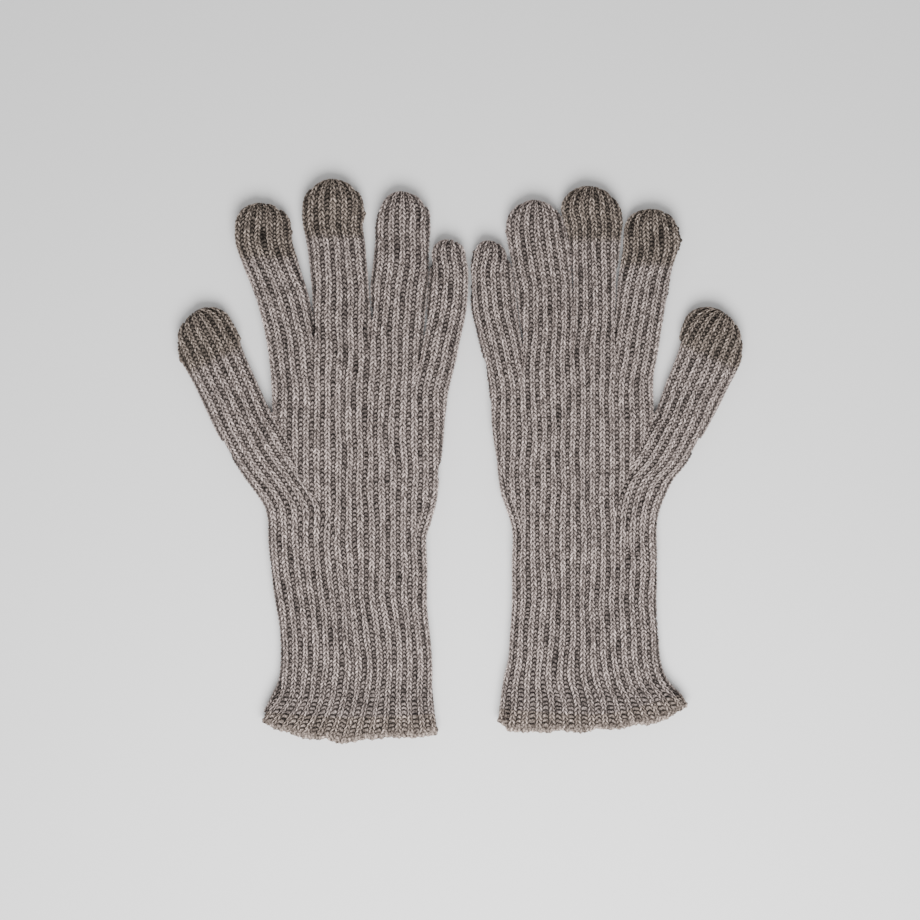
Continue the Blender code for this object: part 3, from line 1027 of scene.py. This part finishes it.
def loose_fibres(skin, normal, rng):
    """Short hairs that stand off the yarn: points, faces' corners and the skin point of each."""
    spacing = np.linalg.norm(skin[:, 1] - skin[:, 0], axis=1).mean() * ROW
    count = int(FIBRES * spacing * skin.shape[0] * skin.shape[1])
    rows = rng.integers(3, max(4, skin.shape[0] - 3), count)
    cols = rng.integers(0, skin.shape[1], count)
    out = normal[rows, cols]
    drift = rng.normal(size=(count, 3))
    drift -= out * np.sum(drift * out, axis=1, keepdims=True)
    drift /= np.linalg.norm(drift, axis=1, keepdims=True)
    turn = np.cross(out, drift)
    length, rise, curl = (
        rng.uniform(*limits, count)[:, None] for limits in (FIBRE_LENGTHS, FIBRE_RISES, FIBRE_CURLS)
    )
    start = skin[rows, cols] - 0.12 * out
    rings = []
    for k in range(FIBRE_STEPS + 1):
        t = k / FIBRE_STEPS
        middle = start + length * (drift * t + turn * curl * t * t + out * rise * t * (1.6 - t))
        radius = FIBRE_RADIUS * (1 - 0.6 * t)
        for corner in range(FIBRE_SIDES):
            a = 2 * math.pi * corner / FIBRE_SIDES
            rings.append(middle + radius * (math.cos(a) * turn + math.sin(a) * out))
    points = np.stack(rings, 1).reshape(-1, 3)
    base = np.arange(count)[:, None, None] * FIBRE_SIDES * (FIBRE_STEPS + 1)
    quads = []
    for k in range(FIBRE_STEPS):
        low, high = FIBRE_SIDES * k, FIBRE_SIDES * (k + 1)
        for corner in range(FIBRE_SIDES):
            after = (corner + 1) % FIBRE_SIDES
            quads.append([low + after, low + corner, high + corner, high + after])
    last = FIBRE_SIDES * FIBRE_STEPS
    caps = [[0, 1, 2], [last + 2, last + 1, last]]
    quads, caps = (base + np.array(quads)).reshape(-1, 4), (base + np.array(caps)).reshape(-1, 3)
    return points, quads, caps, rows, cols


def add_fibres(shell, name, skin, normal, values):
    rng = np.random.default_rng(sum(map(ord, name)))
    points, quads, caps, rows, cols = loose_fibres(skin, normal, rng)
    own = {label: value[rows, cols] for label, value in values.items()}
    # each fibre gets the same painted light
    own["open"] = np.full(len(rows), FIBRE_PAINTED_LIGHT)
    own["dye"] = dyed(rows * ROW)
    to_a_fibre = FIBRE_SIDES * (FIBRE_STEPS + 1)
    own = {label: np.repeat(value, to_a_fibre) for label, value in own.items()}
    first = shell.add_points(points, own)
    shell.add_faces(quads + first, np.tile(FIBRE_PATCH, (len(quads), 1)))
    shell.add_faces(caps + first, np.tile(FIBRE_PATCH[:3], (len(caps), 1)))


def piece(name, grid, first, last, glove, slot, closed=False, rim=False, world=None):
    """One knitted tube: the rows first to last of a grid, with a plain inner side."""
    rows = slice(first, last + 1)
    skin, place, normal = grid.skin[rows], grid.place[rows], grid.normal[rows]
    values = {label: grid.values[label][rows] for label in SHOWN}
    if slot == "touch_yarn":
        along = np.arange(len(skin))[:, None] * ROW
        values["dye"] = dyed(along, 1.2 * (values["tone"] - 0.5))
    inside, inner_rows = inner_side(place, normal, closed)
    inner_values = {label: value[inner_rows] for label, value in values.items()}
    # the inner side gets the same painted shade everywhere
    inner_values["open"] = np.full(inside.shape[:2], INNER_PAINTED_LIGHT)
    inner_values["dye"] = np.ones(inside.shape[:2])

    shell = Shell(skin.shape[1], values)
    outer_rings = shell.add_rings(skin, values)
    inner_rings = shell.add_rings(inside, inner_values)
    shell.bands(outer_rings, OUTER_V)
    shell.bands(inner_rings, INNER_V, inward=True)
    start = [outer_rings[0]]
    if rim:
        edge_values = {label: value[0] for label, value in values.items()}
        start += [shell.add_points(ring, edge_values) for ring in rim_rings(skin, inside)]
    shell.bands(start + [inner_rings[0]], RIM_V, smooth_faces=rim, inward=True)
    if closed:
        means = {label: value[-1].mean() for label, value in values.items()}
        tip = shell.add_points(skin[-1].mean(0), means)
        inner_means = dict.fromkeys(values, INNER_TIP) | {"dye": 1.0}
        inner_tip = shell.add_points(inside[-1].mean(0), inner_means)
        shell.fan(outer_rings[-1], tip, OUTER_DISC)
        shell.fan(inner_rings[-1], inner_tip, INNER_DISC, inward=True)
    else:
        shell.bands([outer_rings[-1], inner_rings[-1]], END_V, smooth_faces=False)
    if FIBRES:
        add_fibres(shell, name, skin, normal, values)
    return shell.make(name, slot, glove, world)


# ---- the gloves

# widths of the tubes, which set how many columns of points their grids have
HAND_WIDTH, PALM_WIDTH, BAND_WIDTH, FINGER_WIDTH, THUMB_WIDTH = 118, 90, 80, 31, 36
BACK_COLUMN = 1.6 * COLUMN
FOLD_TOP, FOLD_END = -35.5, -47.5  # the cuff bends away from the hand between these
EDGE_LENGTH, HEM_LENGTH = 10.5, 16.0  # lengths that set the rows of the fluted edge and the hem
FLUTE_WIDTH, WRAP_WIDTH = 3.6, 1.9  # of a flute, and of a stitch that is whipped over the edge
ROLL_SHARE = 0.20  # how much of the fluted edge its roll takes up
FOLD_REACH = 7.5  # a finger's joint bends this far to each side
PALM_HEIGHTS = (41, 49, 57, 65)  # where the outer fingers' ribs follow the palm's sides

FINGERS = ("index", "middle", "ring", "little")
FIRST_RIBS = (1.5, 6.5, 11.5, 15.5)  # each finger's middle, in ribs from the hand's outer side
THUMB_MIDDLE = 14.0  # from the thumb's outer side to the middle of its ribs


def columns_for(width):
    arc = width + 5
    return int(math.ceil(arc / COLUMN)), int(math.ceil(arc / BACK_COLUMN))


def knit(glove, name, grid, rows, slot, nodes, bodies, ends=(), **form):
    """Knits a piece, and ties it to its body, or between two, and to the CAD nodes it replaces."""
    side = glove["side"]
    obj = piece(f"{side}_{name}_knit", grid, *rows, glove, slot, **form)
    near, *far = (f"{side}_{body}" for body in bodies)
    if far:
        start, end = (tuple(to_metres([*place, MIDDLE], glove)) for place in ends)
        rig.blend(obj, near, *far, start=start, end=end)
    else:
        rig.ride(obj, near)
    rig.replaces(obj, *[f"{side}_{node}" for node in nodes])


def closed_grid(sides, heights, tip, ribs, width, knots):
    """A closed tube, in straight rows from height to height and a dome to its tip.  Gives its grid
    and the rows that part the stretches."""
    grid = Grid(*columns_for(width), knots)
    families, shape = finger_families([ribs], []), Shape(*sides)
    cuts = [0]
    for low, high in zip(heights, heights[1:]):
        straight_rows(grid, *sides, low, high, families, shape, first=not grid.place)
        cuts.append(grid.last())
    dome_rows(grid, sides, heights[-1], tip, families)
    cuts[-1] = grid.last()
    grid.solve()
    return grid, cuts


class ThumbFrame:
    """The thumb's own frame: x across it, y along it, and 0, 0 at the middle of its fold."""

    def __init__(self, thumb):
        self.lean = math.radians(thumb["lean"])
        self.fold = thumb["fold"]
        self.across = (math.cos(self.lean), math.sin(self.lean))
        self.along = (-math.sin(self.lean), math.cos(self.lean))

    def local(self, x, y):
        dx, dy = x - self.fold[0], y - self.fold[1]
        return tuple(dx * axis[0] + dy * axis[1] for axis in (self.across, self.along))

    def world(self, x, y):
        return tuple(self.fold[i] + x * self.across[i] + y * self.along[i] for i in (0, 1))

    def world_points(self, points):
        out = points.copy()
        out[:, 0], out[:, 1] = self.world(points[:, 0], points[:, 1])
        return out


def prepared(glove):
    """The glove with the lines, points and ribs that its tubes share.  The right glove is built
    as its mirror image, and its flip turns it back."""
    flip = -1 if glove["side"] == "right" else 1
    if flip < 0:
        glove = mirrored(glove)
    outer, inner, gusset = (curve(glove[name]) for name in ("outer", "inner", "gusset"))
    own = ThumbFrame(glove["thumb"])
    knee = (float(gusset(KNEE_END)), KNEE_END)
    knee_across, cut = own.local(*knee)
    thumb_left = glove["thumb"]["rows"][0][1]
    cut_left = own.world(thumb_left + INSET, cut)

    # the thumb's ribs follow the outer side of the hand, then run straight on up the thumb
    corner_x, corner_y = cut_left[0] - INSET * own.across[0], cut_left[1]
    below = [point for point in glove["outer"] if point[0] < corner_y - 11]
    slope = math.tan(own.lean)
    guide = curve(below + [(corner_y + d, corner_x - d * slope) for d in (-3, 0, 30, 150)])
    reach = THUMB_MIDDLE / own.across[0]
    thumb_ribs = Ribs(guide, glove["pitch"], 0.0, reference=lambda y: guide(y) + reach)
    return dict(
        glove,
        flip=flip,
        outer_line=outer,
        inner_line=inner,
        gusset_line=gusset,
        rib_zero=float(outer(WRIST)),
        thumb_frame=own,
        thumb_left=thumb_left,
        thumb_ribs=thumb_ribs,
        thumb_run=float(np.interp(corner_y, thumb_ribs.ys, thumb_ribs.run)),
        knee=knee,
        knee_across=knee_across,
        cut=cut,
        cut_left=cut_left,
    )


def hem_height(left, right):
    """Height of the hem's top surface, between two upright sides."""

    def value(x, y):
        return HALF * profile(np.maximum(x - left, 0)) * profile(np.maximum(right - x, 0))

    return value


def flutes(x, left):
    """How far the edge's courses wave up and down, in mm."""
    waves = np.cos(2 * math.pi * (x - left) / FLUTE_WIDTH + 2 * DRIFT(x * 2, 30.0))
    return 0.26 * waves + 0.6 * DRIFT(x * 3, 7.0)


def edge_relief(q):
    """Turns the stitches at a share q of the fluted edge into open ribs and a whipped roll."""
    roll = math.exp(-((q / ROLL_SHARE) ** 2))

    def extra(x, y, u, clear, lift):
        open_rib = -np.cos(2 * math.pi * u) * (0.6 + 0.4 * np.cos(math.pi * u))
        wrap = 2 * math.pi * (x / WRAP_WIDTH + q * 2.2 + 0.3 * DRIFT(x * 4, 3.0))
        stitches = 0.5 + 0.5 * np.cos(wrap)
        # painted light and shade of the roll: lighter on each whipped stitch, darker between them
        clear = clear * (1 - roll) + roll * (0.42 + 0.30 * stitches)
        own = lift * (1 - roll) + roll * (0.40 + 0.55 * stitches)
        return clear, own + 0.35 * (1 - q) * open_rib

    return extra


def ruled_rows(grid, families, low, high, length, fluted=False):
    """Rows between two edges, each given as its line and its left and right end."""
    count = int(math.ceil(length / ROW))
    for k in range(0 if fluted else 1, count + 1):
        q = k / count
        left, right = (low[i] + (high[i] - low[i]) * q for i in (1, 2))

        def y_of(x, q=q, left=left):
            y = low[0](x) + (high[0](x) - low[0](x)) * q
            return y - (1 - q) * flutes(x, left) if fluted else y

        extra = edge_relief(q) if fluted else None
        row = fine_row(left, right, y_of)
        grid.add_row(row, families, hem_height(left, right), extra=extra)


def knee_rows(grid, glove, families, shape):
    """Rows that turn from level to slanted, where the thumb's ribs leave the palm's."""
    outer, inner, gusset = glove["outer_line"], glove["inner_line"], glove["gusset_line"]
    knee, cut_left = glove["knee"], glove["cut_left"]
    count = int(math.ceil((knee[1] - KNEE_START) * 1.05 / ROW))
    for k in range(1, count + 1):
        q = k / count
        y_left = KNEE_START + q * (cut_left[1] - KNEE_START)
        y_right = KNEE_START + q * (knee[1] - KNEE_START)
        x_left, x_right = float(outer(y_left)) + INSET, float(inner(y_right)) - INSET
        x_left += smooth(q * 4 - 3) * (cut_left[0] - float(outer(cut_left[1])) - INSET)
        xs, ys = [x_left, float(gusset(y_right)), x_right], [y_left, y_right, y_right]
        row = fine_row(x_left, x_right, lambda x, xs=xs, ys=ys: np.interp(x, xs, ys))
        grid.add_row(row, families, shape)


def build_hand(glove):
    """The cuff's edge, the cuff and the heel of the hand, up to where the thumb parts from it."""
    outer, inner = glove["outer_line"], glove["inner_line"]
    shape = Shape(outer, inner, [(glove["gusset_line"], glove["knee"][1])])
    families = body_ribs(glove, glove["rib_zero"])
    bottom, top = (
        (curve(line), line[0][0] + INSET, line[-1][0] - INSET)
        for line in (glove["hem_bottom"], glove["hem_top"])
    )
    left, right = float(outer(HEM_START)) + INSET, float(inner(HEM_START)) - INSET
    level = (lambda x: np.full_like(x, HEM_START), left, right)
    grid = Grid(*columns_for(HAND_WIDTH))
    ruled_rows(grid, families, bottom, top, EDGE_LENGTH, fluted=True)
    hem = grid.last()
    ruled_rows(grid, families, top, level, HEM_LENGTH)
    straight_rows(grid, outer, inner, HEM_START, FOLD_TOP, families, shape, first=False)
    wrist = grid.last()
    straight_rows(grid, outer, inner, FOLD_TOP, KNEE_START, families, shape, first=False)
    knee_rows(grid, glove, families, shape)
    grid.solve()

    middle_x = float(outer(WRIST) + inner(WRIST)) / 2
    ends = (middle_x, FOLD_TOP), (middle_x, FOLD_END)
    knit(glove, "cuff_edge", grid, (0, hem), "edge_yarn", ["cuff_edge"], ["cuff"], rim=True)
    knit(glove, "cuff", grid, (hem, wrist), "body_yarn", ["cuff"], ["hand", "cuff"], ends)
    heel = (wrist, grid.last())
    knit(glove, "palm_heel", grid, heel, "body_yarn", ["palm_heel"], ["hand"])


def finger_guide(glove, name, palm_x, palm_side):
    """The line that a finger's ribs follow, from the wrist through the palm and up the finger."""
    finger, inner = glove["fingers"][name], glove["inner_line"]
    steady = 62 if name == "little" else 75
    upper = [row for row in finger["rows"] if row[0] > steady]
    if name == "index":
        inset = palm_x - float(palm_side(33))
        straight = [row for row in upper if row[0] <= finger["cap"]]
        rest = [(y, float(palm_side(y)) + inset) for y in PALM_HEIGHTS]
        rest += [(y, left + inset) for y, left, right in straight]
        end_y, end_left, end_right = finger["rows"][-2]
        swell = (end_right - end_left) - (straight[-1][2] - straight[-1][1])
        rest.append((end_y, end_left + swell / 2 + inset))
    elif name == "little":
        inset = float(inner(33)) - palm_x
        rest = [(y, float(inner(y)) - inset) for y in (41, 49, 55)]
        rest += [(y, right - inset) for y, left, right in upper]
    else:
        rest = [(y, (left + right) / 2) for y, left, right in upper]
        rest.insert(0, (steady - 16, palm_x + 0.45 * (rest[0][1] - palm_x)))
    return curve([(-160, palm_x), (0, palm_x), (30, palm_x)] + rest + [(170, rest[-1][1])])


def valley_between(glove, ribs, a, b, top):
    """The line between two fingers a and b, from the palm up past their crotch at top."""
    right_of_a = curve([(y, right) for y, left, right in glove["fingers"][a]["rows"]])
    left_of_b = curve([(y, left) for y, left, right in glove["fingers"][b]["rows"]])
    low = float(ribs[a].guide(30) + ribs[b].guide(30)) / 2
    high = float((right_of_a(top) + left_of_b(top)) / 2)
    return curve([(-60, low), (20, low), (36, low), (top, high), (top + 10, high)])


def build_palm(glove):
    """The palm and the knuckle band.  Gives each finger's ribs, start and two side lines."""
    inner, pitch = glove["inner_line"], glove["pitch"]
    knee_x, knee_y = glove["knee"]
    palm_side = curve(
        [(knee_y - 4, knee_x - INSET + 1.3), (knee_y, knee_x - INSET)]
        + [point for point in glove["palm_side"] if point[0] > knee_y + 5]
    )
    ribs = {}
    for name, first in zip(FINGERS, FIRST_RIBS):
        palm_x = glove["rib_zero"] + first * pitch
        ribs[name] = Ribs(finger_guide(glove, name, palm_x, palm_side), pitch, first)
    pairs = zip(FINGERS, FINGERS[1:], glove["crotches"])
    valleys = [valley_between(glove, ribs, *pair) for pair in pairs]
    root, little_root = glove["root"], glove["little_root"]
    band_right = curve(
        [(y, float(valleys[2](y)) + INSET) for y in (little_root - 6, little_root)]
        + [row[::2] for row in glove["fingers"]["ring"]["rows"] if row[0] > little_root + 6]
    )

    for name, node, fingers, right, low, high, width in (
        ("palm", "palm", 4, inner, knee_y, little_root, PALM_WIDTH),
        ("knuckle", "knuckle_band", 3, band_right, little_root, root, BAND_WIDTH),
    ):
        lines = valleys[:fingers - 1]
        shape = Shape(palm_side, right, list(zip(lines, (root, root, little_root))))
        grid = Grid(*columns_for(width))
        families = finger_families([ribs[finger] for finger in FINGERS[:fingers]], lines)
        straight_rows(grid, palm_side, right, low, high, families, shape)
        grid.solve()
        knit(glove, name, grid, (0, grid.last()), "body_yarn", [node], ["hand"])

    lefts = [(palm_side, 0.0)] + [(valley, -INSET) for valley in valleys]
    rights = [(valleys[0], INSET), (valleys[1], INSET), (band_right, 0.0), (inner, 0.0)]
    starts = [root, root, root, little_root]
    return dict(zip(FINGERS, zip(ribs.values(), starts, lefts, rights)))


def build_finger(glove, name, ribs, start, left, right):
    """A finger's root, middle and end.  left and right are its side lines at its root, each with
    how far it shifts there."""
    finger = glove["fingers"][name]
    rows = [row for row in finger["rows"] if row[0] > start + 5]
    lines = []
    for k, (line, shift) in ((1, left), (2, right)):
        below = [(y, float(line(y)) + shift) for y in (start - 5, start)]
        lines.append(curve(below + [(row[0], row[k]) for row in rows]))
    left_line, right_line = lines

    def middle(y):
        return float(left_line(y) + right_line(y)) / 2

    cap, (bend_1, bend_2) = finger.get("cap"), finger["bends"]
    root_end = bend_1 - FOLD_REACH
    middle_end = cap or (bend_1 + bend_2) / 2
    turn = rows[-1][0]
    ribs.gather_at = ribs.first + (middle(turn) - float(ribs.guide(turn))) / glove["pitch"]
    heights = [start, root_end, middle_end, turn]
    grid, cuts = closed_grid(lines, heights, finger["tip"], ribs, FINGER_WIDTH, glove["knots"])

    knuckle = 58.0 if name == "little" else 72.0
    bends = [
        (max(start, knuckle - 6.0), knuckle + 6.0),
        (root_end, min(bend_1 + FOLD_REACH, middle_end)),
        (max(middle_end, bend_2 - FOLD_REACH), bend_2 + FOLD_REACH),
    ]
    bodies = ["hand"] + [f"{name}_{part}" for part in ("base", "middle", "tip")]
    parts = [("root", "body_yarn", ["root_tube"]), ("middle", "body_yarn", ["middle_tube"])]
    if cap:
        parts.append(("cap", "touch_yarn", ["cap_sleeve", "cap_end"]))
    else:
        parts.append(("tip", "body_yarn", ["tip"]))
    for k, (label, slot, nodes) in enumerate(parts):
        nodes = [f"{name}_{node}" for node in nodes]
        ends = [(middle(y), y) for y in bends[k]]
        knit(
            glove, f"{name}_{label}", grid, cuts[k:k + 2], slot, nodes, bodies[k:k + 2], ends,
            closed=k == 2,
        )


def build_thumb(glove):
    """The thumb's root and cap, in the thumb's own frame."""
    thumb, own, cut = glove["thumb"], glove["thumb_frame"], glove["cut"]
    rows = [row for row in thumb["rows"] if row[0] > cut + 3]
    left_line = curve([(cut, glove["thumb_left"])] + [(row[0], row[1]) for row in rows])
    right_line = curve([(cut, glove["knee_across"] + INSET)] + [(row[0], row[2]) for row in rows])
    middle = glove["thumb_left"] + THUMB_MIDDLE

    def guide(y):
        return np.full_like(np.asarray(y, float), middle)

    ribs = Ribs(guide, glove["pitch"], THUMB_MIDDLE / glove["pitch"])
    ribs.run += glove["thumb_run"] - float(np.interp(cut, ribs.ys, ribs.run))
    knots = [own.local(*knot) for knot in glove["knots"]]
    heights = [cut, thumb["cap"], rows[-1][0]]
    grid, (start, cap, end) = closed_grid(
        (left_line, right_line), heights, thumb["tip"], ribs, THUMB_WIDTH, knots
    )
    ends = [own.world(0, cut + d) for d in (0.5, 13)]
    knit(
        glove, "thumb_root", grid, (start, cap), "body_yarn", ["thumb_tube"],
        ["hand", "thumb_base"], ends, world=own.world_points,
    )
    ends = [own.world(0, thumb["bend"] + d) for d in (0.5, 12)]
    knit(
        glove, "thumb_cap", grid, (cap, end), "touch_yarn", ["thumb_cap"],
        ["thumb_base", "thumb_tip"], ends, closed=True, world=own.world_points,
    )


for table in (LEFT, RIGHT):
    built = prepared(table)
    build_hand(built)
    for finger_name, finger_place in build_palm(built).items():
        build_finger(built, finger_name, *finger_place)
    build_thumb(built)


# ---- the room

def plain(name, colour, roughness):
    material = bpy.data.materials.new(name)
    material.use_nodes = True
    surface = material.node_tree.nodes["Principled BSDF"]
    surface.inputs["Base Color"].default_value = (*colour, 1)
    surface.inputs["Roughness"].default_value = roughness
    surface.inputs["Specular IOR Level"].default_value = 0.2
    return material


bpy.ops.mesh.primitive_plane_add(size=4.0, location=(0, 0, -0.0004))
floor = bpy.context.object
floor.name = "floor"
floor.data.materials.append(plain("floor_paper", (0.868, 0.868, 0.868), 0.9))
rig.stage(floor)


def area_light(name, place, target, size, power):
    data = bpy.data.lights.new(name, "AREA")
    data.shape = "DISK"
    data.size = size
    data.energy = power
    lamp = bpy.data.objects.new(name, data)
    bpy.context.scene.collection.objects.link(lamp)
    lamp.location = place
    direction = np.array(target) - np.array(place)
    yaw = math.atan2(direction[0], -direction[1])
    pitch = math.atan2(math.hypot(direction[0], direction[1]), -direction[2])
    lamp.rotation_euler = (pitch, 0, yaw + math.pi)


area_light("key", (0.04, -0.43, 0.60), (0.0, -0.12, 0), 0.54, 10.0)

world_data = bpy.data.worlds.new("room")
bpy.context.scene.world = world_data
world_data.use_nodes = True
background = world_data.node_tree.nodes["Background"]
background.inputs["Color"].default_value = (1, 1, 1, 1)
background.inputs["Strength"].default_value = 0.60

camera_data = bpy.data.cameras.new("camera")
camera_data.lens = 85.0
camera_data.sensor_width = 36.0
camera_data.clip_start = 0.01
camera = bpy.data.objects.new("camera", camera_data)
bpy.context.scene.collection.objects.link(camera)
camera.location = (-0.00075, -0.00125, 1.0936)
bpy.context.scene.camera = camera

with open("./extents.json", "w") as size_file:
    after = [list(corner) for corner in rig.bounds()]
    json.dump({"cad": [[float(n) for n in c] for c in CAD_BOX], "visual": [[float(n) for n in c] for c in after]}, size_file)
